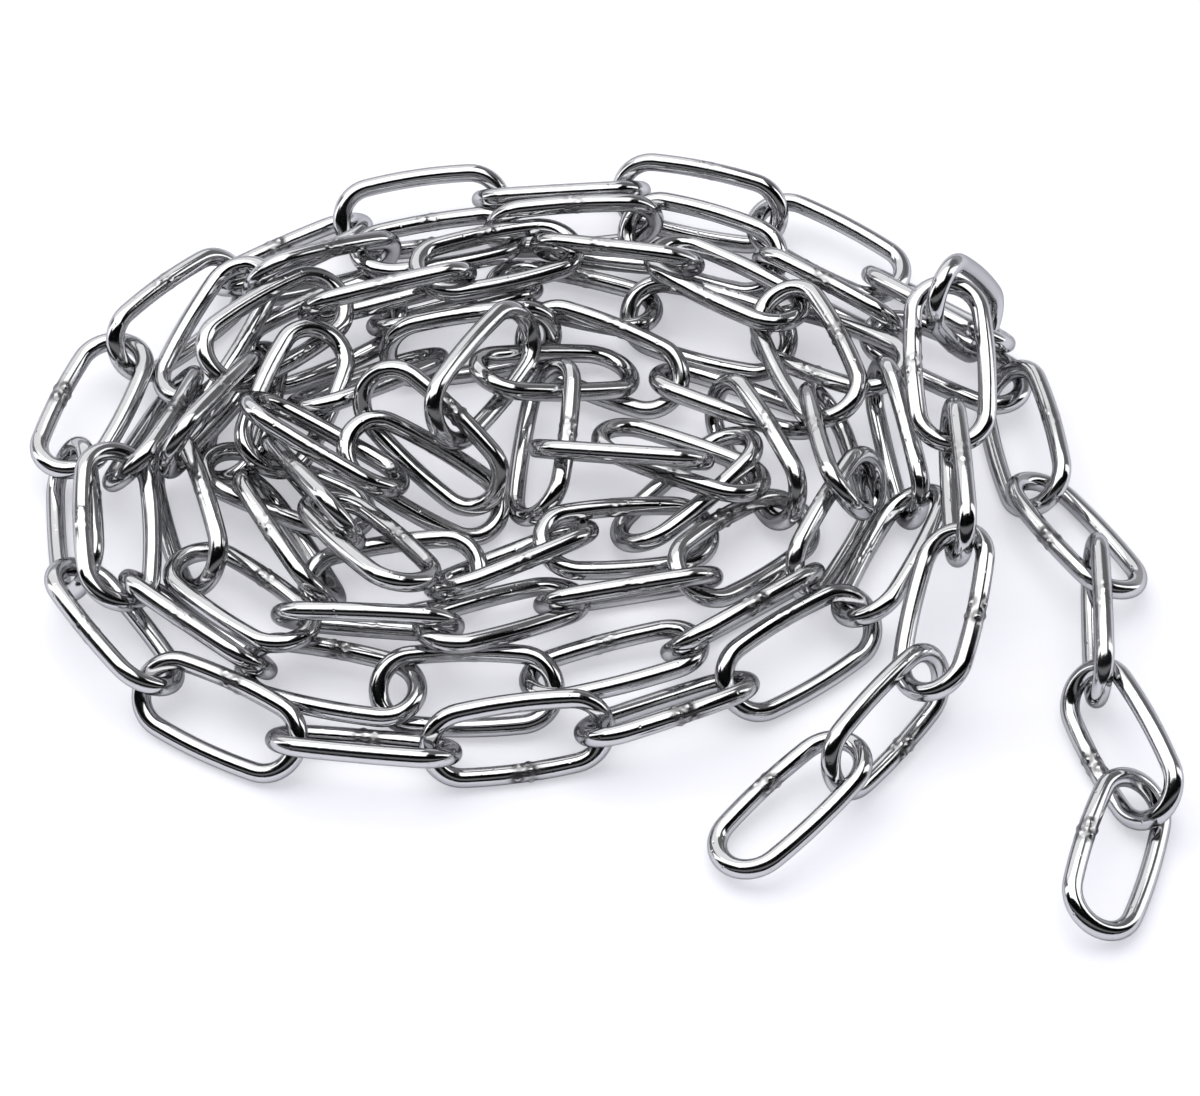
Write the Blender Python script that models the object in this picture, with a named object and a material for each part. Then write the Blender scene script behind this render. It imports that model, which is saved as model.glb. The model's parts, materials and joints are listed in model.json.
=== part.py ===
"""A loose heap of welded steel chain, its two end links lying out at the right.

Every link is the same: round wire bent to a long oval and closed by a butt weld.
The links were traced one by one from a photograph, as the picture points of their
two tips. The script turns those points into places on and above the floor, then
eases the links apart until no two wires meet, each link still hooked in the next.
"""

import math
from collections import namedtuple

import bmesh
import bpy
import numpy as np

for item in list(bpy.data.objects):
    bpy.data.objects.remove(item, do_unlink=True)

# Link size, in millimetres
WIRE_DIAMETER = 4.0
OUTER_LENGTH = 40.0
OUTER_WIDTH = 19.5
WIRE_RADIUS = WIRE_DIAMETER / 2
HALF_LENGTH = OUTER_LENGTH / 2 - WIRE_RADIUS
CROWN_RADIUS = OUTER_WIDTH / 2 - WIRE_RADIUS
HALF_STRAIGHT = HALF_LENGTH - CROWN_RADIUS

# Facets of a link: sides round the wire, and straight steps round each crown
WIRE_SIDES = 6
CROWN_STEPS = 5
CROWN_STEP_RADIUS = CROWN_RADIUS * 1.025

# Distances between the middles of two wires, in millimetres
OPEN_DISTANCE = WIRE_DIAMETER + 0.4
JOINED_DISTANCE = WIRE_DIAMETER - 0.8

METRE = 0.001

# The view that the tips were traced in: its tilt, its distance from the floor in
# millimetres, and its focal length and middle in picture points
VIEW_TILT = math.radians(52)
VIEW_DISTANCE = 920.0
VIEW_FOCAL = 4370.0
VIEW_MIDDLE = (600.0, 548.0)
EYE = np.array([0.0, -VIEW_DISTANCE * math.cos(VIEW_TILT), VIEW_DISTANCE * math.sin(VIEW_TILT)])
VIEW_AHEAD = np.array([0.0, math.cos(VIEW_TILT), -math.sin(VIEW_TILT)])
VIEW_UP = np.array([0.0, math.sin(VIEW_TILT), math.cos(VIEW_TILT)])
VIEW_RIGHT = np.array([1.0, 0.0, 0.0])
FLOOR_UP = np.array([0.0, 0.0, 1.0])

# One traced link: the picture points of the middle of the wire at its first and
# last tip, the height of each tip in millimetres, and how far the link leans about
# its own length, in degrees, from flat (0) to its far rail up (positive)
Trace = namedtuple("Trace", "name first last first_height last_height lean")

TRACES = [
    # Outer turn, from the left-hand loose end back round the coil
    Trace("outer_01", (726, 866), (850, 746), 2, 7, -14),
    Trace("outer_02", (841, 782), (930, 671), 8, 8, 60),
    Trace("outer_03", (920, 689), (957, 541), 4, 13, -33),
    Trace("outer_04", (956, 553), (938, 421), 13, 16, 75),
    Trace("outer_05", (950, 443), (943, 288), 12, 28, 0),
    Trace("outer_06", (934, 297), (994, 339), 29, 8, 70),
    Trace("outer_07", (998, 348), (876, 286), 6, 5, -48),
    Trace("outer_08", (904, 292), (766, 224), 5, 6, 5),
    Trace("outer_09", (792, 217), (636, 193), 6, 8, 50),
    Trace("outer_10", (650, 190), (482, 191), 8, 8, -45),
    Trace("outer_11", (492, 222), (349, 216), 8, 8, 35),
    Trace("outer_12", (364, 216), (229, 277), 7, 7, -30),
    Trace("outer_13", (217, 287), (125, 354), 7, 6, 45),
    Trace("outer_14", (116, 337), (60, 474), 5, 5, -25),
    Trace("outer_15", (53, 466), (64, 604), 8, 8, 45),
    Trace("outer_16", (64, 578), (160, 687), 6, 6, -30),
    Trace("outer_17", (137, 701), (288, 756), 7, 7, 38),
    Trace("outer_18", (272, 749), (452, 763), 7, 7, -42),
    Trace("outer_19", (438, 760), (613, 749), 9, 9, 60),
    Trace("outer_20", (594, 743), (759, 692), 7, 7, -42),
    Trace("outer_21", (734, 692), (881, 622), 6, 6, 35),
    Trace("outer_22", (866, 615), (936, 508), 7, 8, -45),
    Trace("outer_23", (924, 510), (887, 370), 9, 16, 70),
    # Second turn inwards of the same length
    Trace("second_01", (895, 388), (775, 350), 12, 12, -10),
    Trace("second_02", (780, 350), (627, 312), 13, 14, 35),
    Trace("second_03", (655, 315), (497, 285), 14, 14, -10),
    Trace("second_04", (520, 303), (372, 320), 14, 14, -50),
    Trace("second_05", (385, 308), (252, 368), 14, 14, 35),
    Trace("second_06", (262, 380), (216, 480), 14, 12, -60),
    Trace("second_07", (216, 466), (356, 502), 12, 12, 20),
    Trace("second_08", (214, 536), (320, 596), 12, 12, -20),
    Trace("second_09", (312, 603), (486, 573), 12, 12, 30),
    Trace("second_10", (440, 587), (566, 535), 12, 14, -30),
    Trace("second_11", (530, 555), (700, 535), 14, 14, 30),
    Trace("second_12", (665, 532), (745, 475), 18, 20, -45),
    Trace("second_13", (752, 497), (603, 430), 22, 22, 30),
    Trace("second_14", (700, 458), (530, 450), 24, 24, -42),
    # Links laid over the middle of the coil, where that length ends
    Trace("top_01", (568, 512), (545, 380), 14, 24, 60),
    Trace("top_02", (620, 362), (465, 382), 22, 22, -42),
    Trace("top_03", (500, 342), (440, 440), 24, 22, 70),
    Trace("top_04", (355, 375), (476, 481), 24, 22, 70),
    Trace("top_05", (505, 503), (350, 450), 20, 23, 20),
    Trace("top_06", (386, 470), (232, 428), 24, 24, -42),
    # Links in the middle of the coil, where the other length starts
    Trace("middle_01", (415, 550), (320, 516), 14, 12, -20),
    Trace("middle_02", (342, 552), (278, 455), 12, 16, 80),
    Trace("middle_03", (272, 455), (318, 362), 18, 22, 35),
    Trace("middle_04", (305, 408), (440, 375), 16, 16, -40),
    Trace("middle_05", (365, 352), (525, 345), 15, 15, 70),
    Trace("middle_06", (550, 325), (675, 410), 20, 22, 20),
    Trace("middle_07", (690, 370), (825, 430), 20, 20, -35),
    Trace("middle_08", (742, 396), (797, 508), 14, 10, 60),
    # Inner turn of the other length, from the middle outwards
    Trace("inner_01", (800, 512), (680, 585), 16, 16, 25),
    Trace("inner_02", (722, 595), (550, 622), 12, 12, -42),
    Trace("inner_03", (572, 590), (430, 632), 12, 12, 5),
    Trace("inner_04", (452, 640), (272, 638), 12, 12, -42),
    Trace("inner_05", (300, 640), (178, 578), 10, 10, 20),
    Trace("inner_06", (205, 590), (182, 458), 12, 12, 70),
    Trace("inner_07", (185, 460), (212, 365), 16, 16, -60),
    Trace("inner_08", (205, 368), (340, 292), 14, 16, 15),
    Trace("inner_09", (310, 305), (464, 280), 18, 20, -60),
    Trace("inner_10", (405, 275), (562, 240), 18, 18, -10),
    Trace("inner_11", (543, 236), (690, 262), 16, 14, -60),
    Trace("inner_12", (660, 268), (805, 300), 18, 22, -10),
    Trace("inner_13", (800, 292), (846, 420), 26, 22, 45),
    # Next turn outwards
    Trace("third_01", (832, 386), (866, 502), 22, 18, -60),
    Trace("third_02", (872, 458), (790, 575), 18, 12, 65),
    Trace("third_03", (815, 567), (672, 645), 12, 14, -42),
    Trace("third_04", (712, 642), (525, 684), 9, 9, 15),
    Trace("third_05", (559, 690), (379, 700), 9, 9, 62),
    Trace("third_06", (412, 693), (247, 676), 9, 7, 5),
    Trace("third_07", (255, 682), (125, 592), 8, 9, -45),
    Trace("third_08", (130, 608), (103, 467), 10, 10, 15),
    Trace("third_09", (118, 483), (180, 375), 7, 7, -45),
    Trace("third_10", (158, 368), (275, 290), 10, 12, -5),
    Trace("third_11", (262, 285), (380, 255), 12, 10, -60),
    Trace("third_12", (380, 262), (506, 224), 11, 14, -5),
    Trace("third_13", (490, 221), (652, 212), 15, 13, -55),
    Trace("third_14", (635, 227), (772, 268), 12, 12, 5),
    Trace("third_15", (752, 263), (893, 312), 10, 10, -55),
    # Right-hand loose end
    Trace("tail_01", (868, 342), (1021, 400), 7, 7, -10),
    Trace("tail_02", (1010, 375), (1042, 510), 9, 8, 45),
    Trace("tail_03", (1025, 488), (1128, 590), 7, 6, -25),
    Trace("tail_04", (1090, 548), (1098, 690), 8, 6, -70),
    Trace("tail_05", (1087, 683), (1163, 821), 9, 9, 62),
    Trace("tail_06", (1140, 782), (1093, 934), 7, 6, 32),
]

# The heap holds two lengths of chain, and these neighbours in the list aren't hooked
LENGTH_ENDS = {("top_06", "middle_01")}

# Hooks where a crown passes round a neighbour's rail. The rail is 1 for the far one
# or -1 for the near one, with the place along it in millimetres from the middle
RAIL_HOOKS = {
    ("second_07", "second_08"): ((-1, -8), "first"),
    ("second_11", "second_12"): ("last", (-1, -6)),
    ("second_13", "second_14"): ("last", (1, 0)),
    ("second_14", "top_01"): ("last", (1, 0)),
    ("top_01", "top_02"): ("last", (-1, 2)),
    ("top_02", "top_03"): ("last", (-1, -2)),
    ("top_03", "top_04"): ("last", (1, 2)),
    ("middle_03", "middle_04"): ((-1, 0), "first"),
    ("middle_07", "middle_08"): ((-1, -4), "first"),
}
RAIL_HOOK_REACH = 4.0
RAIL_INSET = 5.0

# How far the middle of a crown may lie from the wire hooked in it, in millimetres
HOOK_SLACK = 3.3
RAIL_HOOK_SLACK = 2.0
LOOSE_HOOKS = {("middle_04", "middle_05"): 10.0}

# This link's near rail lies level on the floor, on one of the flats of its wire
LEVEL_LINK = "outer_19"
LEVEL_LEAN = 2 * math.pi / WIRE_SIDES
LEVEL_HEIGHT = WIRE_RADIUS * math.cos(math.pi / WIRE_SIDES) + CROWN_RADIUS * math.sin(LEVEL_LEAN)

# Inside the coil, neighbours that touch are made as one solid, two links at a time
SINGLE_FROM_START = "outer_21"
SINGLE_TO_END = "tail_02"

# One stage of the easing: how often it runs, the distance that wires are eased to,
# how strongly places, heights, turns and hooks are held, how far the heap sinks in
# each run, and whether wires part along the view, as they lie over each other in it
Stage = namedtuple("Stage", "runs distance hold hold_height hold_turn hook sink layered")
STAGES = [
    Stage(120, 0.0, 0.06, 0.02, 0.06, 0.8, 0.0, False),
    Stage(150, 3.0, 0.05, 0.01, 0.05, 0.8, 0.0, True),
    Stage(80, 2.0, 0.03, 0.0, 0.02, 0.8, 0.0, False),
    Stage(80, 3.2, 0.03, 0.0, 0.02, 0.6, 0.05, False),
    Stage(200, 4.0, 0.03, 0.0, 0.02, 0.5, 0.12, False),
    Stage(300, OPEN_DISTANCE, 0.015, 0.0, 0.012, 0.4, 0.06, False),
    Stage(250, OPEN_DISTANCE, 0.004, 0.0, 0.003, 0.1, 0.0, False),
    Stage(250, OPEN_DISTANCE, 0.0, 0.0, 0.0, 0.02, 0.0, False),
]
# The outer turn and both loose ends, which show best, are held this much more firmly
FIRM_NAMES = ("outer", "tail")
FIRM_HOLD = 5.0
EASE_GAIN = 1.2
UPPER_SHARE = 1.5
LOWER_SHARE = 0.5
FACING_LIMIT = 0.2
LONGEST_PUSH = 3.0
LONGEST_STEP = 1.2
LARGEST_TURN = 0.08
TURN_REACH = 11.0
TIP_SEARCH = 14.0
TIP_SEARCH_STEP = 0.25
TIP_SEARCH_COST = 0.12
LEAN_SHARE = 0.5
LARGEST_HOLD = 0.5
FLOOR_SHARE = 0.5
TIE_BREAK = 0.001
# Places are rounded to a millionth of a millimetre, so every run gives the same heap
PLACE_DIGITS = 6
TURN_DIGITS = 8
# Keeps a division from being by nothing
TINY = 1e-9

STEEL_COLOUR = (0.55, 0.55, 0.56, 1.0)
STEEL_ROUGHNESS = 0.12


def unit(vectors):
    """Vectors of length one along the given ones."""
    return vectors / np.linalg.norm(vectors, axis=-1, keepdims=True)


def dots(first, second):
    """Dot product of each row of one array with the same row of another."""
    return np.sum(first * second, axis=-1)


def picture_to_space(point, height):
    """The place at a height above the floor that shows at a picture point."""
    across = (point[0] - VIEW_MIDDLE[0]) / VIEW_FOCAL
    down = (point[1] - VIEW_MIDDLE[1]) / VIEW_FOCAL
    ray = VIEW_AHEAD + VIEW_RIGHT * across - VIEW_UP * down
    return EYE + ray * (height - EYE[2]) / ray[2]


def traced_tips(trace):
    """Both tips of a traced link, their heights shifted until the link has its real length."""
    lowest = WIRE_RADIUS + CROWN_RADIUS * abs(math.sin(math.radians(trace.lean)))
    first_height = max(trace.first_height, lowest)
    last_height = max(trace.last_height, lowest)
    best = None
    for shift in np.arange(-TIP_SEARCH, TIP_SEARCH + TIP_SEARCH_STEP / 2, TIP_SEARCH_STEP):
        first = picture_to_space(trace.first, first_height - shift / 2)
        last = picture_to_space(trace.last, last_height + shift / 2)
        miss = abs(np.linalg.norm(last - first) - 2 * HALF_LENGTH) + TIP_SEARCH_COST * abs(shift)
        if best is None or miss < best[0]:
            best = (miss, first, last)
    return best[1], best[2]


def traced_pose(trace):
    """Middle of a traced link, and its length, width and face directions."""
    first, last = traced_tips(trace)
    along = unit(last - first)
    level = unit(np.cross(FLOOR_UP, along))
    if level[1] < 0:
        level = -level
    raised = np.cross(along, level)
    if raised[2] < 0:
        raised = -raised
    lean = math.radians(trace.lean)
    across = math.cos(lean) * level + math.sin(lean) * raised
    return (first + last) / 2, np.array([along, across, np.cross(along, across)])


def crown_points(side):
    """Points of the middle of the wire round one crown, rail to rail."""
    points = []
    for step in range(CROWN_STEPS + 1):
        angle = math.pi * step / CROWN_STEPS - math.pi / 2
        at_rail = step in (0, CROWN_STEPS)
        radius = CROWN_RADIUS if at_rail else CROWN_STEP_RADIUS
        across = math.copysign(CROWN_RADIUS, angle) if at_rail else radius * math.sin(angle)
        points.append((side * (HALF_STRAIGHT + radius * math.cos(angle)), side * across, 0.0))
    return points


LINK_LINE = np.array(crown_points(1) + crown_points(-1))
CROWN_ROWS = {"last": range(CROWN_STEPS + 1), "first": range(CROWN_STEPS + 1, len(LINK_LINE))}
CROWN_SIDE = {"last": 1, "first": -1}


def nearest_on_pairs(start_a, end_a, start_b, end_b):
    """Nearest points of many pairs of straight pieces."""
    a = end_a - start_a
    b = end_b - start_b
    between = start_a - start_b
    aa = dots(a, a)
    bb = dots(b, b)
    ab = dots(a, b)
    a_between = dots(a, between)
    b_between = dots(b, between)
    spread = aa * bb - ab * ab
    free = np.clip((ab * b_between - a_between * bb) / np.maximum(spread, TINY), 0, 1)
    on_a = np.where(spread > TINY, free, 1 / 2)
    on_b = np.clip((ab * on_a + b_between) / bb, 0, 1)
    on_a = np.clip((ab * on_b - a_between) / aa, 0, 1)
    return start_a + a * on_a[:, None], start_b + b * on_b[:, None]


def turned(frames, turns):
    """Frames turned about the given vectors, by their lengths in radians."""
    angle = np.linalg.norm(turns, axis=1)
    axis = (turns / np.maximum(angle, TINY)[:, None])[:, None, :]
    cosine = np.cos(angle)[:, None, None]
    sine = np.sin(angle)[:, None, None]
    share = np.sum(axis * frames, axis=2, keepdims=True)
    result = frames * cosine + np.cross(axis, frames) * sine + axis * share * (1 - cosine)
    along = unit(result[:, 0])
    across = unit(result[:, 1] - along * dots(along, result[:, 1])[:, None])
    return np.stack([along, across, np.cross(along, across)], axis=1)


class Heap:
    """The places of all links while they are eased apart."""

    def __init__(self, traces):
        poses = [traced_pose(trace) for trace in traces]
        self.names = [trace.name for trace in traces]
        self.middles = np.array([pose[0] for pose in poses])
        self.frames = np.array([pose[1] for pose in poses])
        self.traced_middles = self.middles.copy()
        self.traced_frames = self.frames.copy()
        self.height = np.array([(t.first_height + t.last_height) / 2 for t in traces])
        self.rise = np.array([float(t.last_height - t.first_height) for t in traces])
        self.level = self.names.index(LEVEL_LINK)
        firm = [name.startswith(FIRM_NAMES) for name in self.names]
        self.firmness = np.where(firm, FIRM_HOLD, 1.0)[:, None]
        self.hooks = self.find_hooks()
        self.hooked = np.zeros((len(traces), len(traces)), dtype=bool)
        for first, _, second, _, _ in self.hooks:
            self.hooked[first, second] = True
            self.hooked[second, first] = True
        self.joined = self.find_joined()

    def find_hooks(self):
        """Each pair of hooked neighbours, the place of the hook on both, and its slack."""
        hooks = []
        for number in range(len(self.names) - 1):
            pair = (self.names[number], self.names[number + 1])
            if pair in LENGTH_ENDS:
                continue
            spot, next_spot = RAIL_HOOKS.get(pair, ("last", "first"))
            usual = RAIL_HOOK_SLACK if pair in RAIL_HOOKS else HOOK_SLACK
            slack = LOOSE_HOOKS.get(pair, usual)
            hooks.append((number, spot, number + 1, next_spot, slack))
        return hooks

    def find_joined(self):
        """Neighbours inside the coil that are made as one solid."""
        joined = []
        number = self.names.index(SINGLE_FROM_START) + 1
        end = self.names.index(SINGLE_TO_END)
        while number + 1 < end:
            pair = (self.names[number], self.names[number + 1])
            by_crowns = pair not in RAIL_HOOKS and pair not in LOOSE_HOOKS
            if self.hooked[number, number + 1] and by_crowns:
                joined.append((number, number + 1))
                number += 2
            else:
                number += 1
        return joined

    def lines(self):
        """The points of every link's wire, in space."""
        return self.middles[:, None, :] + np.einsum("pk,nkd->npd", LINK_LINE, self.frames)

    def shift_and_turn(self, shifts, turns, counts):
        """Moves every link by the mean of what pushes it, within the longest step."""
        shares = np.maximum(counts, 1.0)[:, None]
        shifts = shifts / shares
        turns = turns / shares
        length = np.linalg.norm(shifts, axis=1)
        angle = np.linalg.norm(turns, axis=1)
        shifts = shifts * np.minimum(1.0, LONGEST_STEP / np.maximum(length, TINY))[:, None]
        turns = turns * np.minimum(1.0, LARGEST_TURN / np.maximum(angle, TINY))[:, None]
        self.middles = np.round(self.middles + shifts, PLACE_DIGITS)
        self.frames = np.round(turned(self.frames, turns), TURN_DIGITS)

    def close_pieces(self, reach):
        """Every pair of straight pieces of two links that come within the reach."""
        start = self.lines()
        end = np.roll(start, -1, axis=1)
        apart = np.linalg.norm(self.middles[:, None] - self.middles[None], axis=2)
        first, second = np.where(np.triu(apart < 2 * HALF_LENGTH + reach, 1))
        low = np.minimum(start, end)
        high = np.maximum(start, end)
        below = low[first][:, :, None, :] - reach < high[second][:, None, :, :]
        above = low[second][:, None, :, :] - reach < high[first][:, :, None, :]
        pair, piece_a, piece_b = np.where(np.all(below & above, axis=3))
        a = first[pair]
        b = second[pair]
        on_a, on_b = nearest_on_pairs(
            start[a, piece_a], end[a, piece_a], start[b, piece_b], end[b, piece_b]
        )
        return a, b, on_a, on_b, np.linalg.norm(on_a - on_b, axis=1)

    def traced_height(self, numbers, points):
        """Traced height of each link beside a point of it."""
        along = dots(points - self.middles[numbers], self.frames[numbers, 0]) / (2 * HALF_LENGTH)
        return self.height[numbers] + self.rise[numbers] * np.clip(along, -1 / 2, 1 / 2)

    def part_wires(self, stage):
        """Pushes apart the wires that are closer than the stage's distance."""
        a, b, on_a, on_b, apart = self.close_pieces(stage.distance)
        wanted = np.full(len(a), stage.distance)
        for first, second in self.joined:
            wanted[(a == first) & (b == second)] = min(stage.distance, JOINED_DISTANCE)
        close = apart < wanted
        if stage.layered:
            close &= ~self.hooked[a, b]
        a, b, on_a, on_b, apart = a[close], b[close], on_a[close], on_b[close], apart[close]
        push = wanted[close] - apart
        way = (on_a - on_b) / np.maximum(apart, TINY)[:, None]
        share_a = np.ones(len(a))
        share_b = np.ones(len(a))
        if stage.layered:
            over = self.traced_height(a, on_a) - self.traced_height(b, on_b) + TIE_BREAK * (a - b)
            side = np.where(over > 0, 1.0, -1.0)
            to_eye = -VIEW_AHEAD[None] * side[:, None]
            facing = dots(way, to_eye)
            turned_away = facing < FACING_LIMIT
            way = np.where(turned_away[:, None], to_eye, way)
            push = np.minimum(np.where(turned_away, stage.distance - facing * apart, push), LONGEST_PUSH)
            share_a = np.where(over > 0, UPPER_SHARE, LOWER_SHARE)
            share_b = np.where(over > 0, LOWER_SHARE, UPPER_SHARE)
        self.push_pairs(a, b, on_a, on_b, way, push * EASE_GAIN, share_a, share_b)

    def push_pairs(self, a, b, on_a, on_b, way, push, share_a, share_b):
        """Shifts and turns two links for each push between a point of one and one of the other."""
        lever_a = np.cross(on_a - self.middles[a], way)
        lever_b = np.cross(on_b - self.middles[b], way)
        ease = 2 + (dots(lever_a, lever_a) + dots(lever_b, lever_b)) / TURN_REACH ** 2
        size = push / ease
        shifts = np.zeros_like(self.middles)
        turns = np.zeros_like(self.middles)
        counts = np.zeros(len(self.middles))
        np.add.at(shifts, a, (share_a * size)[:, None] * way)
        np.add.at(shifts, b, -(share_b * size)[:, None] * way)
        np.add.at(turns, a, (share_a * size)[:, None] * lever_a / TURN_REACH ** 2)
        np.add.at(turns, b, -(share_b * size)[:, None] * lever_b / TURN_REACH ** 2)
        np.add.at(counts, a, 1)
        np.add.at(counts, b, 1)
        self.shift_and_turn(shifts, turns, np.sqrt(counts))

    def hook_home(self, link, spot):
        """The point inside a link's opening that its neighbour's wire passes near."""
        along, across = self.frames[link, 0], self.frames[link, 1]
        if spot in CROWN_SIDE:
            return self.middles[link] + CROWN_SIDE[spot] * HALF_STRAIGHT * along
        return self.middles[link] + spot[1] * along + spot[0] * (CROWN_RADIUS - RAIL_INSET) * across

    def hook_wire(self, link, spot, home, lines):
        """The point of a link's wire, at the hook, that is nearest to a neighbour's home."""
        if spot in CROWN_SIDE:
            points = lines[link][list(CROWN_ROWS[spot])]
        else:
            along, across = self.frames[link, 0], self.frames[link, 1]
            middle = self.middles[link] + spot[1] * along + spot[0] * CROWN_RADIUS * across
            points = np.array([middle - RAIL_HOOK_REACH * along, middle + RAIL_HOOK_REACH * along])
        start = points[:-1]
        piece = points[1:] - start
        share = np.clip(dots(home - start, piece) / dots(piece, piece), 0, 1)
        nearest = start + piece * share[:, None]
        return nearest[int(np.argmin(np.linalg.norm(nearest - home, axis=1)))]

    def close_hooks(self, strength):
        """Draws each wire back into the opening that it is hooked in."""
        lines = self.lines()
        a, b, on_a, on_b, push = [], [], [], [], []
        for first, spot, second, next_spot, slack in self.hooks:
            for link, its_spot, other, other_spot in (
                (first, spot, second, next_spot),
                (second, next_spot, first, spot),
            ):
                home = self.hook_home(link, its_spot)
                wire = self.hook_wire(other, other_spot, home, lines)
                miss = np.linalg.norm(home - wire)
                if miss > slack:
                    a.append(link)
                    b.append(other)
                    on_a.append(home)
                    on_b.append(wire)
                    push.append(-(miss - slack) * strength)
        self.draw_together(a, b, on_a, on_b, push)

    def close_joins(self):
        """Draws each joined pair of links together until their wires meet."""
        if not self.joined:
            return
        lines = self.lines()
        ends = np.roll(lines, -1, axis=1)
        count = lines.shape[1]
        a, b, on_a, on_b, push = [], [], [], [], []
        for first, second in self.joined:
            piece_a, piece_b = np.divmod(np.arange(count * count), count)
            near_a, near_b = nearest_on_pairs(
                lines[first][piece_a], ends[first][piece_a], lines[second][piece_b], ends[second][piece_b]
            )
            apart = np.linalg.norm(near_a - near_b, axis=1)
            at = int(np.argmin(apart))
            if apart[at] > JOINED_DISTANCE:
                a.append(first)
                b.append(second)
                on_a.append(near_a[at])
                on_b.append(near_b[at])
                push.append(JOINED_DISTANCE - apart[at])
        self.draw_together(a, b, on_a, on_b, push)

    def draw_together(self, a, b, on_a, on_b, push):
        """Draws pairs of points of two links towards each other."""
        if not a:
            return
        on_a = np.array(on_a)
        on_b = np.array(on_b)
        way = unit(on_a - on_b)
        one = np.ones(len(a))
        self.push_pairs(np.array(a), np.array(b), on_a, on_b, way, np.array(push), one, one)

    def hold_traced(self, stage):
        """Draws every link back to its traced place and turn."""
        off = self.traced_middles - self.middles
        deep = dots(off, VIEW_AHEAD)[:, None] * VIEW_AHEAD[None]
        hold = np.minimum(self.firmness * stage.hold, LARGEST_HOLD)
        self.middles = self.middles + (off - deep) * hold + deep * stage.hold_height
        turn = np.cross(self.frames[:, 0], self.traced_frames[:, 0])
        turn = turn + LEAN_SHARE * np.cross(self.frames[:, 1], self.traced_frames[:, 1])
        hold_turn = np.minimum(self.firmness * stage.hold_turn, LARGEST_HOLD)
        self.frames = turned(self.frames, turn * hold_turn)

    def lift_off_floor(self, stage):
        """Lifts what has sunk under the floor, and keeps the level link on it."""
        lines = self.lines()
        sunk = WIRE_RADIUS - lines[:, :, 2]
        link, point = np.where(sunk > 0)
        way = -VIEW_AHEAD if stage.layered else FLOOR_UP
        push = sunk[link, point] / way[2]
        lever = np.cross(lines[link, point] - self.middles[link], way[None])
        size = push / (1 + dots(lever, lever) / TURN_REACH ** 2)
        shifts = np.zeros_like(self.middles)
        turns = np.zeros_like(self.middles)
        counts = np.zeros(len(self.middles))
        np.add.at(shifts, link, size[:, None] * way[None])
        np.add.at(turns, link, size[:, None] * lever / TURN_REACH ** 2)
        np.add.at(counts, link, FLOOR_SHARE)
        self.shift_and_turn(shifts, turns, counts)
        along = unit(self.frames[self.level, 0] * (1, 1, 0))
        level = np.cross(FLOOR_UP, along)
        level = level * math.copysign(1.0, level[1])
        across = math.cos(LEVEL_LEAN) * level + math.sin(LEVEL_LEAN) * FLOOR_UP
        self.frames[self.level] = np.array([along, across, np.cross(along, across)])
        self.middles[self.level, 2] = LEVEL_HEIGHT

    def ease(self):
        """Runs every stage."""
        for stage in STAGES:
            for _ in range(stage.runs):
                if stage.distance > 0:
                    self.part_wires(stage)
                self.close_hooks(stage.hook)
                if not stage.layered and stage.distance > JOINED_DISTANCE:
                    self.close_joins()
                self.hold_traced(stage)
                self.middles[:, 2] -= stage.sink
                self.lift_off_floor(stage)

    def solids(self):
        """Groups of link numbers, each made as one solid."""
        groups = []
        joined = dict(self.joined)
        seconds = set(joined.values())
        for number in range(len(self.names)):
            if number not in seconds:
                groups.append([number] + ([joined[number]] if number in joined else []))
        return groups


def steel_material(name):
    """Polished steel."""
    material = bpy.data.materials.new(name)
    material.use_nodes = True
    shader = material.node_tree.nodes["Principled BSDF"]
    shader.inputs["Base Color"].default_value = STEEL_COLOUR
    shader.inputs["Metallic"].default_value = 1.0
    shader.inputs["Roughness"].default_value = STEEL_ROUGHNESS
    return material


def link_sections(middle, frame):
    """Corner points of the wire's sections round a link, mitred where it bends."""
    count = len(LINK_LINE)
    sections = []
    for number, point in enumerate(LINK_LINE):
        before = unit(point - LINK_LINE[number - 1])
        after = unit(LINK_LINE[(number + 1) % count] - point)
        outwards = np.cross(unit(before + after), (0.0, 0.0, 1.0))
        mitre = 1 / math.sqrt((1 + float(before @ after)) / 2)
        section = []
        for side in range(WIRE_SIDES):
            angle = math.pi * (2 * side + 1) / WIRE_SIDES
            offset = outwards * math.sin(angle) * mitre + np.array((0.0, 0.0, 1.0)) * math.cos(angle)
            section.append(middle + (point + WIRE_RADIUS * offset) @ frame)
        sections.append(section)
    return np.array(sections)


def link_mesh(name, middle, frame):
    """One closed link, a ring of wire sections joined by facets."""
    mesh = bpy.data.meshes.new(name)
    shape = bmesh.new()
    places = link_sections(middle, frame) * METRE
    sections = [[shape.verts.new(place) for place in section] for section in places]
    for number, section in enumerate(sections):
        following = sections[(number + 1) % len(sections)]
        for side in range(WIRE_SIDES):
            beside = (side + 1) % WIRE_SIDES
            shape.faces.new((section[side], section[beside], following[beside], following[side]))
    bmesh.ops.recalc_face_normals(shape, faces=shape.faces)
    shape.to_mesh(mesh)
    shape.free()
    return mesh


def add_object(name, mesh):
    """Puts a mesh into the scene under its name."""
    item = bpy.data.objects.new(name, mesh)
    bpy.context.scene.collection.objects.link(item)
    return item


def centre_on_floor(heap):
    """Moves the heap so that the origin is under the middle of its box, on the floor."""
    sections = np.array([link_sections(m, f) for m, f in zip(heap.middles, heap.frames)])
    low = sections.reshape(-1, 3).min(axis=0)
    high = sections.reshape(-1, 3).max(axis=0)
    shift = -(low + high) / 2 * (1, 1, 0)
    heap.middles = heap.middles + shift
    print("box", np.round(high - low, 1), "lowest point", round(float(low[2]), 3))


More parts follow.
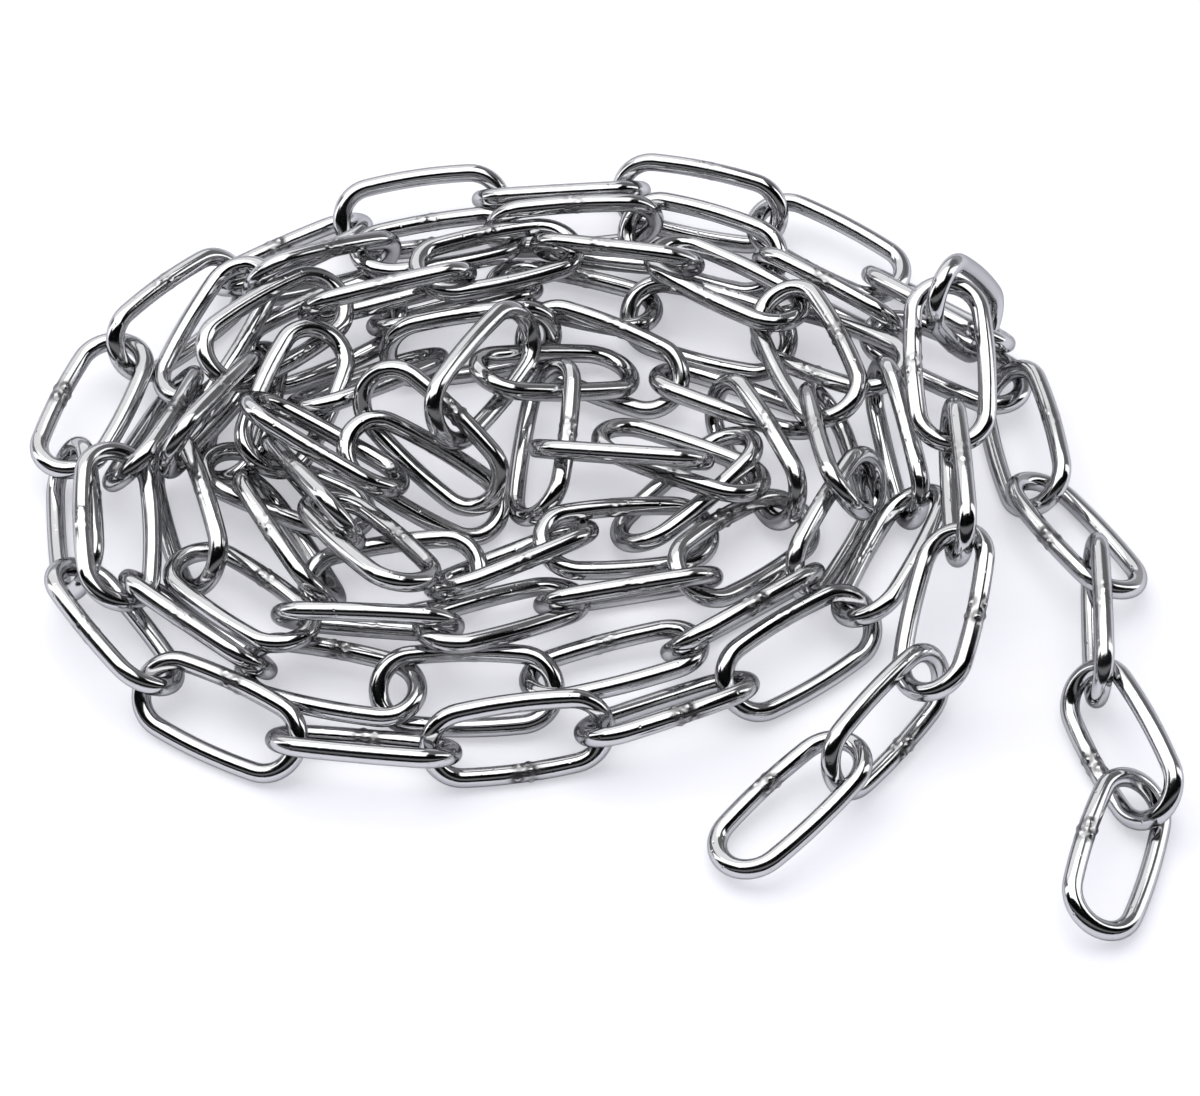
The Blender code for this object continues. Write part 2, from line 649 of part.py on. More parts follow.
def build():
    """Eases the heap and makes its solids."""
    heap = Heap(TRACES)
    heap.ease()
    centre_on_floor(heap)
    for group in heap.solids():
        names = [heap.names[number] for number in group]
        meshes = [link_mesh(name, heap.middles[n], heap.frames[n]) for name, n in zip(names, group)]
        label = ("link_" if len(group) == 1 else "links_") + "_".join(names)
        item = add_object(label, meshes[0])
        meshes[0].materials.append(steel_material(label + "_steel"))
        for name, mesh in zip(names[1:], meshes[1:]):
            other = add_object("joined_" + name, mesh)
            other.hide_render = True
            other.display_type = "WIRE"
            union = item.modifiers.new("join_" + name, "BOOLEAN")
            union.operation = "UNION"
            union.object = other
    _, _, _, _, apart = heap.close_pieces(OPEN_DISTANCE)
    print("links", len(heap.names), "solids", len(heap.solids()))
    print("least distance of two wires", round(float(apart.min()), 2), "mm")
    print("highest wire", round(float(heap.lines()[:, :, 2].max() + WIRE_RADIUS), 1), "mm")


build()
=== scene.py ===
"""The looks of a loose heap of polished steel chain, laid over its solid links.

The chain lies coiled on a white floor, with the links at both ends lying out to the
right. Every link is round bright wire, bent to a long oval and closed by a butt weld.
"""

# %% [markdown]
# # A heap of polished steel chain
# The model that is loaded here has the right place and size for every link, but its wire
# is six-sided and plain. This lesson lays a smooth, welded, polished link over each one,
# and then lights the heap like a product photograph: steel has hardly any colour of its
# own, so most of its look is what it reflects.

# %% Load the solid links
import json
import math
from collections import namedtuple

import bpy
import numpy as np
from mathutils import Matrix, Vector

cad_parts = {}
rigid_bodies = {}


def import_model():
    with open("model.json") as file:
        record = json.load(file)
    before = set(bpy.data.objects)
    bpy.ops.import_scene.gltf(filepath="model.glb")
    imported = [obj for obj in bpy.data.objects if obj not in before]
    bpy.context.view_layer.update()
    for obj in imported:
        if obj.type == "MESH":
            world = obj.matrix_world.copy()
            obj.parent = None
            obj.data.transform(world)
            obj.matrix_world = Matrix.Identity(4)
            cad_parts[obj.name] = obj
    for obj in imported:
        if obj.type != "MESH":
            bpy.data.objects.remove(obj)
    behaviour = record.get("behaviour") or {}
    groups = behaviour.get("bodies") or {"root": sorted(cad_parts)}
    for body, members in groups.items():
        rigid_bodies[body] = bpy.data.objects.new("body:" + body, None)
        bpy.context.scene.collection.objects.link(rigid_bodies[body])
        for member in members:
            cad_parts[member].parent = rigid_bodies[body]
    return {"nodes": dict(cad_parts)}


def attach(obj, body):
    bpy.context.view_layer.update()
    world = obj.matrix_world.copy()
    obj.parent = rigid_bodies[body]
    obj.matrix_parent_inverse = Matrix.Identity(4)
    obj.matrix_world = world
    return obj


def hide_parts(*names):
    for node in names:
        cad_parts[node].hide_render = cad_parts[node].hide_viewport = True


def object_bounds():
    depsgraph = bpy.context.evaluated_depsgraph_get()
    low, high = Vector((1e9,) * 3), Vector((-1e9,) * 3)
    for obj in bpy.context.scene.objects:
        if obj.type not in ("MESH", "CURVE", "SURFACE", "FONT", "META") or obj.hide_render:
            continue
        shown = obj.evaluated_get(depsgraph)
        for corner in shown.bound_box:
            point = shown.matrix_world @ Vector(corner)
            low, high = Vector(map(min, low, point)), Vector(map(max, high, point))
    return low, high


for thing in list(bpy.data.objects):
    bpy.data.objects.remove(thing, do_unlink=True)
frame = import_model()
solid_low, solid_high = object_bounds()
MM = 0.001
print("solids", len(frame["nodes"]), "heap size in mm", [round(s / MM) for s in solid_high - solid_low])

# %% [markdown]
# ## The camera
# The photograph looks down on the heap from the front, at a bit over 50 degrees. A long
# lens from almost a metre away keeps the near and far links the same size, as a maker's
# catalogue likes it. A short lens close by would make the front links look huge.

# %% The camera
VIEW_TILT = math.radians(52)
VIEW_DISTANCE = 0.92
FOCAL_PIXELS = 4370
PICTURE_WIDTH = 1200
SENSOR_WIDTH = 36
NEAREST_SEEN = 0.01
FRAME_SHIFT = 0.00236


def add_camera():
    """The camera, looking down on the heap from the front."""
    camera = bpy.data.objects.new("camera", bpy.data.cameras.new("camera"))
    bpy.context.scene.collection.objects.link(camera)
    camera.location = (
        FRAME_SHIFT,
        -VIEW_DISTANCE * math.cos(VIEW_TILT),
        VIEW_DISTANCE * math.sin(VIEW_TILT),
    )
    camera.rotation_euler = (math.pi / 2 - VIEW_TILT, 0, 0)
    camera.data.sensor_width = SENSOR_WIDTH
    camera.data.lens = SENSOR_WIDTH * FOCAL_PIXELS / PICTURE_WIDTH
    camera.data.clip_start = NEAREST_SEEN
    bpy.context.scene.camera = camera
    return camera


camera = add_camera()
print("lens in mm", round(camera.data.lens, 1), "camera at", [round(x, 3) for x in camera.location])

# %% [markdown]
# ## Finding the links again
# A solid's mesh is only triangles, so each link's place has to be read back out of them.
# The picture could be matched link by link, or the places could be written down as a long
# table, but both can drift away from the solids. It is safer to measure. The only long
# edges in a link run along its two straight rails, and the true ones are parallel, while
# the slanting edges of the triangles between them point all ways.

# %% The long edges of one solid
LONG_EDGE = (19.7 * MM, 21.3 * MM)


def long_edges(mesh):
    """The two ends of each edge that is as long as a link's straight rail."""
    points = np.zeros(len(mesh.vertices) * 3)
    mesh.vertices.foreach_get("co", points)
    points = points.reshape(-1, 3)
    ends = np.zeros(len(mesh.edges) * 2, dtype=int)
    mesh.edges.foreach_get("vertices", ends)
    first, last = points[ends[0::2]], points[ends[1::2]]
    length = np.linalg.norm(last - first, axis=1)
    kept = (length > LONG_EDGE[0]) & (length < LONG_EDGE[1])
    return first[kept], last[kept]


sample_name = sorted(frame["nodes"])[0]
print(sample_name, "has", len(long_edges(frame["nodes"][sample_name].data)[0]), "long edges")

# %% [markdown]
# The rail's six edges stand round the wire like the corners of a hexagon, so the circle
# through them gives the middle of the wire. Where two links share a solid, the cut between
# them has broken some edges, and the circle still fits the corners that are left.

# %% The middle of a rail, from the corners of its wire
def circle_middle(corners):
    """The middle and radius of the circle through points on a plane, by least squares."""
    system = np.column_stack([2 * corners, np.ones(len(corners))])
    answer = np.linalg.lstsq(system, (corners ** 2).sum(axis=1), rcond=None)[0]
    middle = answer[:2]
    return middle, math.sqrt(answer[2] + middle @ middle)


three_points = np.array([[1.0, 0.0], [0.0, 1.0], [-1.0, 0.0]])
print("a circle through three points has radius", round(circle_middle(three_points)[1], 3))

# %% Each link's place: its middle, and the directions of its length, width and thickness
Place = namedtuple("Place", "middle along across through")
SAME_DIRECTION = math.cos(math.radians(0.6))
SLANTED_DIRECTION = math.cos(math.radians(8))
ONE_LINK = 21 * MM
HALF_A_LINK = 12.5 * MM
ONE_RAIL = 4.6 * MM
FEWEST_EDGES = 7
# No rail runs this way, so the cross product with it gives a direction across any rail
SKEW = (0.3, 0.5, 0.8)
measured = {"wire radius": [], "rail spacing": [], "straight length": []}


def unit(vector):
    """The same direction, one long."""
    return vector / np.linalg.norm(vector)


def read_place(middles, ways):
    """One link's place, from the middles and directions of the edges along its rails."""
    along = unit((ways * np.sign(ways @ ways[0])[:, None]).mean(axis=0))
    side = unit(np.cross(along, SKEW))
    plane = np.column_stack([side, np.cross(along, side)])
    corners = middles @ plane
    on_first = np.linalg.norm(corners - corners[0], axis=1) < ONE_RAIL
    rail_a, radius_a = circle_middle(corners[on_first])
    rail_b, radius_b = circle_middle(corners[~on_first])
    measured["wire radius"] += [radius_a, radius_b]
    measured["rail spacing"].append(np.linalg.norm(rail_a - rail_b))
    middle = plane @ (rail_a + rail_b) / 2 + along * (middles @ along).mean()
    across = unit(plane @ (rail_a - rail_b))
    return Place(middle, along, across, np.cross(along, across))


def find_places(mesh):
    """The place of each link in a solid's mesh."""
    first, last = long_edges(mesh)
    length = np.linalg.norm(last - first, axis=1)
    ways = (last - first) / length[:, None]
    middles = (first + last) / 2
    unused = np.ones(len(ways), dtype=bool)
    apart = np.linalg.norm(middles[:, None] - middles[None], axis=2)
    parallel = (np.abs(ways @ ways.T) > SAME_DIRECTION) & (apart < ONE_LINK)
    places = []
    while True:
        alike = parallel & unused & unused[:, None]
        members = alike[alike.sum(axis=1).argmax()]
        if members.sum() < FEWEST_EDGES:
            return places
        place = read_place(middles[members], ways[members])
        places.append(place)
        measured["straight length"].append(length[members].mean())
        near = np.linalg.norm(middles - place.middle, axis=1) < HALF_A_LINK
        unused &= ~(near & (np.abs(ways @ place.along) > SLANTED_DIRECTION))


def links_in(name):
    """The links whose names a solid's name holds: one after link_, two after links_."""
    words = name.split("_")[1:]
    return ["_".join(words[i:i + 2]) for i in range(0, len(words), 2)]


places_of = {name: find_places(solid.data) for name, solid in sorted(frame["nodes"].items())}
for name, places in places_of.items():
    if len(places) != len(links_in(name)):
        print("wrong number of links in", name, len(places))
print("links found", sum(map(len, places_of.values())))

# %% The link's own size, as measured on the solids
WIRE_RADIUS = float(np.median(measured["wire radius"]))
CROWN_RADIUS = float(np.median(measured["rail spacing"])) / 2
HALF_STRAIGHT = float(np.median(measured["straight length"])) / 2
for what, values in measured.items():
    print(what, "in mm", [round(v / MM, 2) for v in (min(values), np.median(values), max(values))])

# %% [markdown]
# ## The wire of one link
# A real link starts as a straight piece of drawn wire. A machine bends it round until its
# ends meet in the middle of one rail, and a spark welds them there. The bend spreads into
# the rails, so they bow out a little, and the middle of the wire follows four arcs: two
# slow ones and two tight ones. A curve with a round bevel would give that wire, but not the
# weld, where the thickness changes along the wire and around it. So the surface is worked
# out as a grid: stations along the wire, and a ring of points at each.

# %% The four arcs, starting and ending at the weld
HALF_LENGTH = HALF_STRAIGHT + CROWN_RADIUS
# A crown's bend is a little tighter than half the link's width, and the rails' bow is the rest
CROWN_TIGHTNESS = 0.93
CROWN_BEND = CROWN_TIGHTNESS * CROWN_RADIUS
CROWN_CENTRE = HALF_LENGTH - CROWN_BEND
RAIL_BEND = (CROWN_CENTRE ** 2 + CROWN_RADIUS ** 2 - CROWN_BEND ** 2) / (
    2 * (CROWN_RADIUS - CROWN_BEND)
)
RAIL_TURN = math.asin(CROWN_CENTRE / (RAIL_BEND - CROWN_BEND))
# Each arc's radius, the middle of its circle, and the turn at its start and its end
ARC_RADIUS = np.array([RAIL_BEND, CROWN_BEND, RAIL_BEND, CROWN_BEND, RAIL_BEND])
ARC_CENTRE = np.array([
    (0, CROWN_RADIUS - RAIL_BEND), (CROWN_CENTRE, 0), (0, RAIL_BEND - CROWN_RADIUS),
    (-CROWN_CENTRE, 0), (0, CROWN_RADIUS - RAIL_BEND),
])
ARC_TURNS = np.array([
    0, RAIL_TURN, math.pi - RAIL_TURN, math.pi + RAIL_TURN, 2 * math.pi - RAIL_TURN, 2 * math.pi,
])
ARC_ENDS = np.concatenate([[0], np.cumsum(ARC_RADIUS * np.diff(ARC_TURNS))])
LINK_ROUND = float(ARC_ENDS[-1])
print("arcs bend at", np.round(ARC_RADIUS[:2] / MM, 1), "mm")
print("wire length", round(LINK_ROUND / MM, 1), "mm")


# %% Where the middle of the wire runs
def wire_line(lengths):
    """Points on the middle line of the wire, and the outward direction at each, lying flat."""
    around = np.mod(lengths, LINK_ROUND)
    arc = np.searchsorted(ARC_ENDS, around, side="right") - 1
    arc = np.minimum(arc, len(ARC_RADIUS) - 1)
    turn = ARC_TURNS[arc] + (around - ARC_ENDS[arc]) / ARC_RADIUS[arc]
    outward = np.stack([np.sin(turn), np.cos(turn)], axis=-1)
    return ARC_CENTRE[arc] + ARC_RADIUS[arc][:, None] * outward, outward


# %% Stations along the wire, closest together over the weld
WIRE_POINTS = 32
CROWN_STATIONS = 20
RAIL_STATIONS = 8
WELD_REACH = 3.6 * MM
WELD_STATIONS = 33
REST_STATIONS = 3


def station_lengths():
    """Distances along the wire from the weld, once round the link."""
    half_rail, crown_end, rail_end, other_end, whole = ARC_ENDS[1:]
    stretches = [
        np.linspace(-WELD_REACH, WELD_REACH, WELD_STATIONS),
        np.linspace(WELD_REACH, half_rail, REST_STATIONS + 1)[1:],
        np.linspace(half_rail, crown_end, CROWN_STATIONS + 1)[1:],
        np.linspace(crown_end, rail_end, RAIL_STATIONS + 1)[1:],
        np.linspace(rail_end, other_end, CROWN_STATIONS + 1)[1:],
        np.linspace(other_end, whole - WELD_REACH, REST_STATIONS + 1)[1:-1],
    ]
    return np.concatenate(stretches)


stations = station_lengths()
line_points, line_outward = wire_line(stations)
print("stations round a link", len(stations))
link_length = 2 * (line_points[:, 0].max() + WIRE_RADIUS)
print("the link is", round(link_length / MM, 1), "mm long over its ends")

# %% [markdown]
# ## Letting the links settle
# Some solids hold two links, pressed together by a little less than a millimetre so that
# they are one body, and round wire meets its neighbours in other places than six-sided wire
# does. Real links only touch. A physics simulation could part them, but it would let the
# whole heap slump. So each two wires that are closer than their thickness are moved apart a
# little, and what reaches below the floor is lifted onto it, round after round. All the links
# of a round move at once, so that an overlap that can't be cleared is shared out. No link may
# go further than a millimetre from its solid, so that the heap keeps its shape. For some
# hooked pairs that isn't enough: each round looks only at the place where a pair is closest,
# and a few wires deep in the heap still press into each other.

# %% Move the links apart, each by a millimetre at most
SETTLING_ROUNDS = 120
# How much of an overlap each of the two links moves in one round
SETTLING_SHARE = 0.3
SETTLING_POINTS = 96
SETTLING_REACH = 6 * MM
TOUCHING = 2 * WIRE_RADIUS + 0.06 * MM
FURTHEST_MOVE = 1.0 * MM
settling_line = wire_line(np.linspace(0, LINK_ROUND, SETTLING_POINTS, endpoint=False))[0]


def middle_line(place):
    """Points in space along the middle of a link's wire."""
    return place.middle + settling_line[:, :1] * place.along + settling_line[:, 1:] * place.across


def nearest_points(first, second):
    """The step from the second line to the first where they are closest, and its length."""
    steps = first[:, None] - second[None]
    apart = np.linalg.norm(steps, axis=2)
    a, b = np.unravel_index(apart.argmin(), apart.shape)
    return steps[a, b], apart[a, b]


def neighbours(lines):
    """The pairs of links whose wires come close to each other."""
    pairs = []
    for a in range(len(lines)):
        for b in range(a + 1, len(lines)):
            between = np.linalg.norm(lines[a].mean(axis=0) - lines[b].mean(axis=0))
            if between > 2 * HALF_LENGTH + SETTLING_REACH:
                continue
            if nearest_points(lines[a], lines[b])[1] < SETTLING_REACH:
                pairs.append((a, b))
    return pairs


def settle(places):
    """The same links, moved apart and up from the floor, as far as they may go."""
    lines = np.array([middle_line(place) for place in places])
    moved = np.zeros((len(places), 3))
    pairs = neighbours(lines)
    for _ in range(SETTLING_ROUNDS):
        pushes = np.zeros_like(moved)
        for a, b in pairs:
            step, apart = nearest_points(lines[a] + moved[a], lines[b] + moved[b])
            push = step / apart * max(TOUCHING - apart, 0) * SETTLING_SHARE
            pushes[a] += push
            pushes[b] -= push
        moved += pushes
        below = solid_low.z + WIRE_RADIUS - (lines[..., 2].min(axis=1) + moved[:, 2])
        moved[:, 2] += np.maximum(below, 0)
        gone = np.linalg.norm(moved, axis=1)
        moved *= (FURTHEST_MOVE / np.maximum(gone, FURTHEST_MOVE))[:, None]
    furthest = np.linalg.norm(moved, axis=1).max()
    print("close pairs", len(pairs), "furthest move in mm", round(furthest / MM, 2))
    return [place._replace(middle=place.middle + step) for place, step in zip(places, moved)]


order = [(name, number) for name, places in places_of.items() for number in range(len(places))]
settled = settle([places_of[name][number] for name, number in order])
for (name, number), place in zip(order, settled):
    places_of[name][number] = place

# %% [markdown]
# ## Which rail has the weld
# A link has its weld in the middle of one rail, and on a loose heap it can be either. Where
# the photograph shows a weld, it goes on that rail. Elsewhere the upper rail has it as often
# as the lower one, except where another wire or the floor is too close for it.

# %% Turn each link so that its weld is on the right rail
NEAR, FAR, LEFT, RIGHT, UPPER = (0, -1, 0), (0, 1, 0), (-1, 0, 0), (1, 0, 0), (0, 0, 1)
WELD_TOWARDS = {
    "outer_01": LEFT, "outer_02": RIGHT, "outer_03": RIGHT, "outer_11": NEAR, "outer_12": FAR,
    "outer_14": LEFT, "outer_17": FAR, "outer_18": FAR, "outer_19": NEAR, "outer_20": NEAR,
    "tail_03": LEFT, "tail_05": LEFT, "tail_06": LEFT, "third_04": NEAR, "third_05": FAR,
    "third_08": LEFT, "third_09": UPPER, "top_04": UPPER, "second_12": UPPER, "second_13": UPPER,
    "inner_01": UPPER, "inner_13": RIGHT,
}
CLOSE_TO_FLOOR = 4 * MM
ROOM_FOR_WELD = 2 * WIRE_RADIUS + 0.7 * MM
# Where along the rail a weld's distance from other wires is measured
WELD_SPOTS = np.linspace(-2.4, 2.4, 5) * MM
LOWER_RAIL_SHARE = 0.5
SEED = 12
chance = np.random.default_rng(SEED)
place_of_link = {
    link: place
    for name, places in places_of.items()
    for link, place in zip(links_in(name), places)
}


def turn_over(place):
    """The same link, with its rails changed round."""
    return place._replace(across=-place.across, through=-place.through)


def room_for_weld(link, place):
    """How far the wire along the weld is from the nearest wire of another link."""
    weld = place.middle + CROWN_RADIUS * place.across + WELD_SPOTS[:, None] * place.along
    others = [middle_line(other) for name, other in place_of_link.items() if name != link]
    return np.linalg.norm(np.concatenate(others)[:, None] - weld, axis=2).min()


def turn_to_weld(link, place):
    """The same place, with its width direction pointing at the rail that has the weld."""
    lower_rail = place.middle[2] - CROWN_RADIUS * abs(place.across[2])
    towards = np.array(WELD_TOWARDS.get(link, UPPER))
    if place.across @ towards < 0:
        place = turn_over(place)
    if link in WELD_TOWARDS:
        return place
    if lower_rail > CLOSE_TO_FLOOR and chance.random() < LOWER_RAIL_SHARE:
        place = turn_over(place)
    room, other_room = room_for_weld(link, place), room_for_weld(link, turn_over(place))
    return turn_over(place) if room < min(ROOM_FOR_WELD, other_room) else place


for name, places in places_of.items():
    places_of[name] = [turn_to_weld(link, place) for link, place in zip(links_in(name), places)]
print("welds placed by the photograph", len(WELD_TOWARDS))

# %% [markdown]
# ## The weld
# When the ends are pressed together hot, soft metal swells out round the joint. Grinding
# and tumbling leave a cluster of rounded beads, which shine like small mirrors, and the
# hollows round them are given a darker colour. A ring of even thickness would look turned
# on a lathe, and a groove all the way round would look sawn. Each link gets its own beads,
# from a random source that always starts the same way, so the heap looks the same in every
# render. Some welds are almost ground away.

# %% How the weld changes the wire's radius
COLLAR_RISE = 0.05 * MM
COLLAR_REACH = 2.2 * MM
SEAM_SLANT = 0.35 * MM
SEAM_SHIFT = 0.5 * MM
BEADS = 8
BEAD_RISE = 0.27 * MM
BEAD_REACH = 0.72 * MM
BEAD_FROM_SEAM = (0.8 * MM, 1.9 * MM)
BEAD_SHARE = (0.65, 1.0)
BEAD_JITTER = 0.25
HOLLOW_DEPTH = 0.14 * MM
HOLLOW_REACH = 1.2 * MM
HOLLOW_SHADE = 2.4
CLEAR_WELD = 1.0
GROUND_WELD = (0.15, 0.7)


def bump(away, reach):
    """One in the middle, falling off smoothly with the distance from it."""
    return np.exp(-(away / reach) ** 2)


def any_turn():
    """A random angle, in radians."""
    return chance.uniform(0, 2 * math.pi)


def weld_shape(lengths, angles, clearness):
    """How far the surface stands out near the weld, and a mask of the dark hollows in it."""
    slant = SEAM_SLANT * np.sin(angles + any_turn())
    from_seam = lengths - chance.uniform(-SEAM_SHIFT, SEAM_SHIFT) - slant
    first_turn = any_turn()
    beads, surroundings = np.zeros_like(angles), np.zeros_like(angles)
    # The beads stand round the wire, and lie on one side of the seam and the other in turn
    for bead in range(BEADS):
        step = bead + chance.uniform(-BEAD_JITTER, BEAD_JITTER)
        bead_turn = first_turn + 2 * math.pi * step / BEADS
        around = WIRE_RADIUS * (np.mod(angles - bead_turn + math.pi, 2 * math.pi) - math.pi)
        side = chance.uniform(*BEAD_FROM_SEAM) * (-1) ** bead
        away = np.hypot(around, from_seam - side)
        share = chance.uniform(*BEAD_SHARE)
        beads = np.maximum(beads, share * bump(away, BEAD_REACH))
        surroundings = np.maximum(surroundings, share * bump(away, HOLLOW_REACH))
    hollow = np.clip(HOLLOW_SHADE * (surroundings - beads), 0, 1)
    collar = COLLAR_RISE * bump(from_seam, COLLAR_REACH)
    rise = collar + BEAD_RISE * beads - HOLLOW_DEPTH * hollow
    return clearness * rise, clearness * hollow


# %% The surface of one link, in its own place
Surface = namedtuple("Surface", "points along round hollow")
WARP = 0.16 * MM


def link_surface(place, clearness=CLEAR_WELD):
    """Points of one link's surface as a grid, with how far along and round the wire each is."""
    angles = np.linspace(0, 2 * math.pi, WIRE_POINTS, endpoint=False)
    lengths = np.where(stations > LINK_ROUND / 2, stations - LINK_ROUND, stations)
    along_grid, angle_grid = np.meshgrid(lengths, angles, indexing="ij")
    rise, hollow = weld_shape(along_grid, angle_grid, clearness)
    radius = WIRE_RADIUS + rise
    flat = line_points[:, None, :] + line_outward[:, None, :] * (radius * np.cos(angle_grid))[..., None]
    # No link comes out of the machine quite flat, so opposite corners are up or down a hair
    warp = chance.normal(0, WARP) / (HALF_LENGTH * CROWN_RADIUS)
    height = radius * np.sin(angle_grid) + warp * flat[..., 0] * flat[..., 1]
    points = (
        place.middle
        + flat[..., :1] * place.along
        + flat[..., 1:] * place.across
        + height[..., None] * place.through
    )
    # What would reach through the floor is worn flat on it
    points[..., 2] = np.maximum(points[..., 2], solid_low.z)
    return Surface(points, along_grid, angle_grid, hollow)


surface = link_surface(places_of[sample_name][0])
print("points on a link", surface.points[..., 0].size)

# %% One smooth piece for each solid
LARGEST_NUMBER = 90


def grid_faces(rows, columns, start):
    """Four-sided faces of a grid that closes on itself both ways."""
    row, column = np.meshgrid(np.arange(rows), np.arange(columns), indexing="ij")
    next_row, next_column = (row + 1) % rows, (column + 1) % columns
    corners = [row * columns + column, row * columns + next_column]
    corners += [next_row * columns + next_column, next_row * columns + column]
    return start + np.stack(corners, axis=-1).reshape(-1, 4)


def weld_left(link, place):
    """How clear a link's weld is: less where it was ground, or where another wire lies on it."""
    clearness = CLEAR_WELD if link in WELD_TOWARDS else chance.uniform(*GROUND_WELD)
    room = (room_for_weld(link, place) - 2 * WIRE_RADIUS) / (ROOM_FOR_WELD - 2 * WIRE_RADIUS)
    return clearness * min(max(room, 0), 1)


def add_piece(name, places):
    """The links of one solid as one mesh, riding on the heap and standing for the solid."""
    surfaces = []
    for link, place in zip(links_in(name), places):
        surfaces.append(link_surface(place, weld_left(link, place)))
    points = np.concatenate([s.points.reshape(-1, 3) for s in surfaces])
    rows, count = len(stations), len(stations) * WIRE_POINTS
    faces = np.concatenate([
        grid_faces(rows, WIRE_POINTS, count * number) for number in range(len(places))
    ])
    mesh = bpy.data.meshes.new("chain_" + name)
    mesh.from_pydata(points.tolist(), [], faces.tolist())
    mesh.polygons.foreach_set("use_smooth", np.ones(len(faces), dtype=bool))
    # A number of its own gives each link drawing lines of its own
    numbers = np.repeat(chance.uniform(0, LARGEST_NUMBER, len(surfaces)), count)
    along = np.concatenate([s.along.ravel() for s in surfaces]) / MM
    turn = np.concatenate([s.round.ravel() for s in surfaces])
    on_wire = np.column_stack([along, turn, numbers]).astype(np.float32)
    mesh.attributes.new("wire", "FLOAT_VECTOR", "POINT").data.foreach_set("vector", on_wire.ravel())
    hollow = np.concatenate([s.hollow.ravel() for s in surfaces]).astype(np.float32)
    mesh.attributes.new("hollow", "FLOAT", "POINT").data.foreach_set("value", hollow)
    mesh.update()
    piece = bpy.data.objects.new("chain_" + name, mesh)
    bpy.context.scene.collection.objects.link(piece)
    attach(piece, "root")
    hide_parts(name)
    return piece


pieces = [add_piece(name, places) for name, places in places_of.items()]
print("pieces", len(pieces), "triangles", 2 * sum(len(piece.data.polygons) for piece in pieces))

# %% [markdown]
# ## Shader helpers
# The materials below are node networks. A few short functions keep them readable: one adds
# a node and sets its values, and one makes a group with named sockets, so that an effect is
# built once and used by every material that needs it.

# %% Helpers for node networks
def add_node(tree, kind, values=None, **settings):
    """A node with its own settings, and the given socket values or links."""
    node = tree.nodes.new(kind)
    for name, value in settings.items():
        setattr(node, name, value)
    for name, value in (values or {}).items():
        if isinstance(value, bpy.types.NodeSocket):
            tree.links.new(value, node.inputs[name])
        else:
            node.inputs[name].default_value = value
    return node


def new_group(name, inputs, outputs):
    """A node group with number or vector sockets, and its input and output nodes."""
    group = bpy.data.node_groups.new(name, "ShaderNodeTree")
    for label, kind, value in inputs:
        socket = group.interface.new_socket(label, in_out="INPUT", socket_type=kind)
        if value is not None:
            socket.default_value = value
    for label, kind in outputs:
        group.interface.new_socket(label, in_out="OUTPUT", socket_type=kind)
    return group, group.nodes.new("NodeGroupInput"), group.nodes.new("NodeGroupOutput")


NUMBER, VECTOR = "NodeSocketFloat", "NodeSocketVector"
print("helpers ready")

# %% [markdown]
# ## Marks of drawing and polishing
# Wire is pulled through a die, which leaves fine lines along it, and tumbling with beads
# polishes most of them away. A bitmap would have to be wrapped round every link. Here a
# noise is stretched along the wire instead, in the link's own coordinates: how far along
# the wire a point is, and how far round it.

# %% Fine lines that run along the wire
# The stretch is how fast the noise changes along the wire, against its change round it
LINE_STRETCH = 0.06
LINE_FINENESS = 4.0
LINE_DETAIL = 3.0
LINE_CRISPNESS = 0.6
LINE_RANGE = (0.42, 0.68)


def make_drawn_lines():
    """A group that gives lines along the wire, as a height and as a mask."""
    group, given, result = new_group(
        "drawn lines",
        [("Wire", VECTOR, None), ("Stretch", NUMBER, LINE_STRETCH),
         ("Fineness", NUMBER, LINE_FINENESS)],
        [("Height", NUMBER), ("Mask", NUMBER)],
    )
    parts = add_node(group, "ShaderNodeSeparateXYZ", {0: given.outputs["Wire"]})
    length = add_node(group, "ShaderNodeMath",
                      {0: parts.outputs[0], 1: given.outputs["Stretch"]}, operation="MULTIPLY")
    # The angle goes in as a point on a circle, so that the lines have no break where it starts
    around = add_node(group, "ShaderNodeMath", {0: parts.outputs[1]}, operation="SINE")
    around_too = add_node(group, "ShaderNodeMath", {0: parts.outputs[1]}, operation="COSINE")
    place = add_node(group, "ShaderNodeCombineXYZ",
                     {0: length.outputs[0], 1: around.outputs[0], 2: around_too.outputs[0]})
    noise = add_node(group, "ShaderNodeTexNoise",
                     {"Vector": place.outputs[0], "W": parts.outputs[2],
                      "Scale": given.outputs["Fineness"], "Detail": LINE_DETAIL,
                      "Roughness": LINE_CRISPNESS},
                     noise_dimensions="4D")
    mask = add_node(group, "ShaderNodeMapRange",
                    {"Value": noise.outputs[0], "From Min": LINE_RANGE[0], "From Max": LINE_RANGE[1]})
    group.links.new(noise.outputs[0], result.inputs["Height"])
    group.links.new(mask.outputs[0], result.inputs["Mask"])
    return group


drawn_lines = make_drawn_lines()
print(drawn_lines.name, "puts out", [socket.name for socket in drawn_lines.interface.items_tree
                                     if socket.in_out == "OUTPUT"])

# %% Small pits and knocks
# Cells to a metre, how far a pit reaches from its cell's middle, and how many cells have one
PIT_DENSITY = 500.0
PIT_REACH = 0.16
PIT_SHARE = 0.5


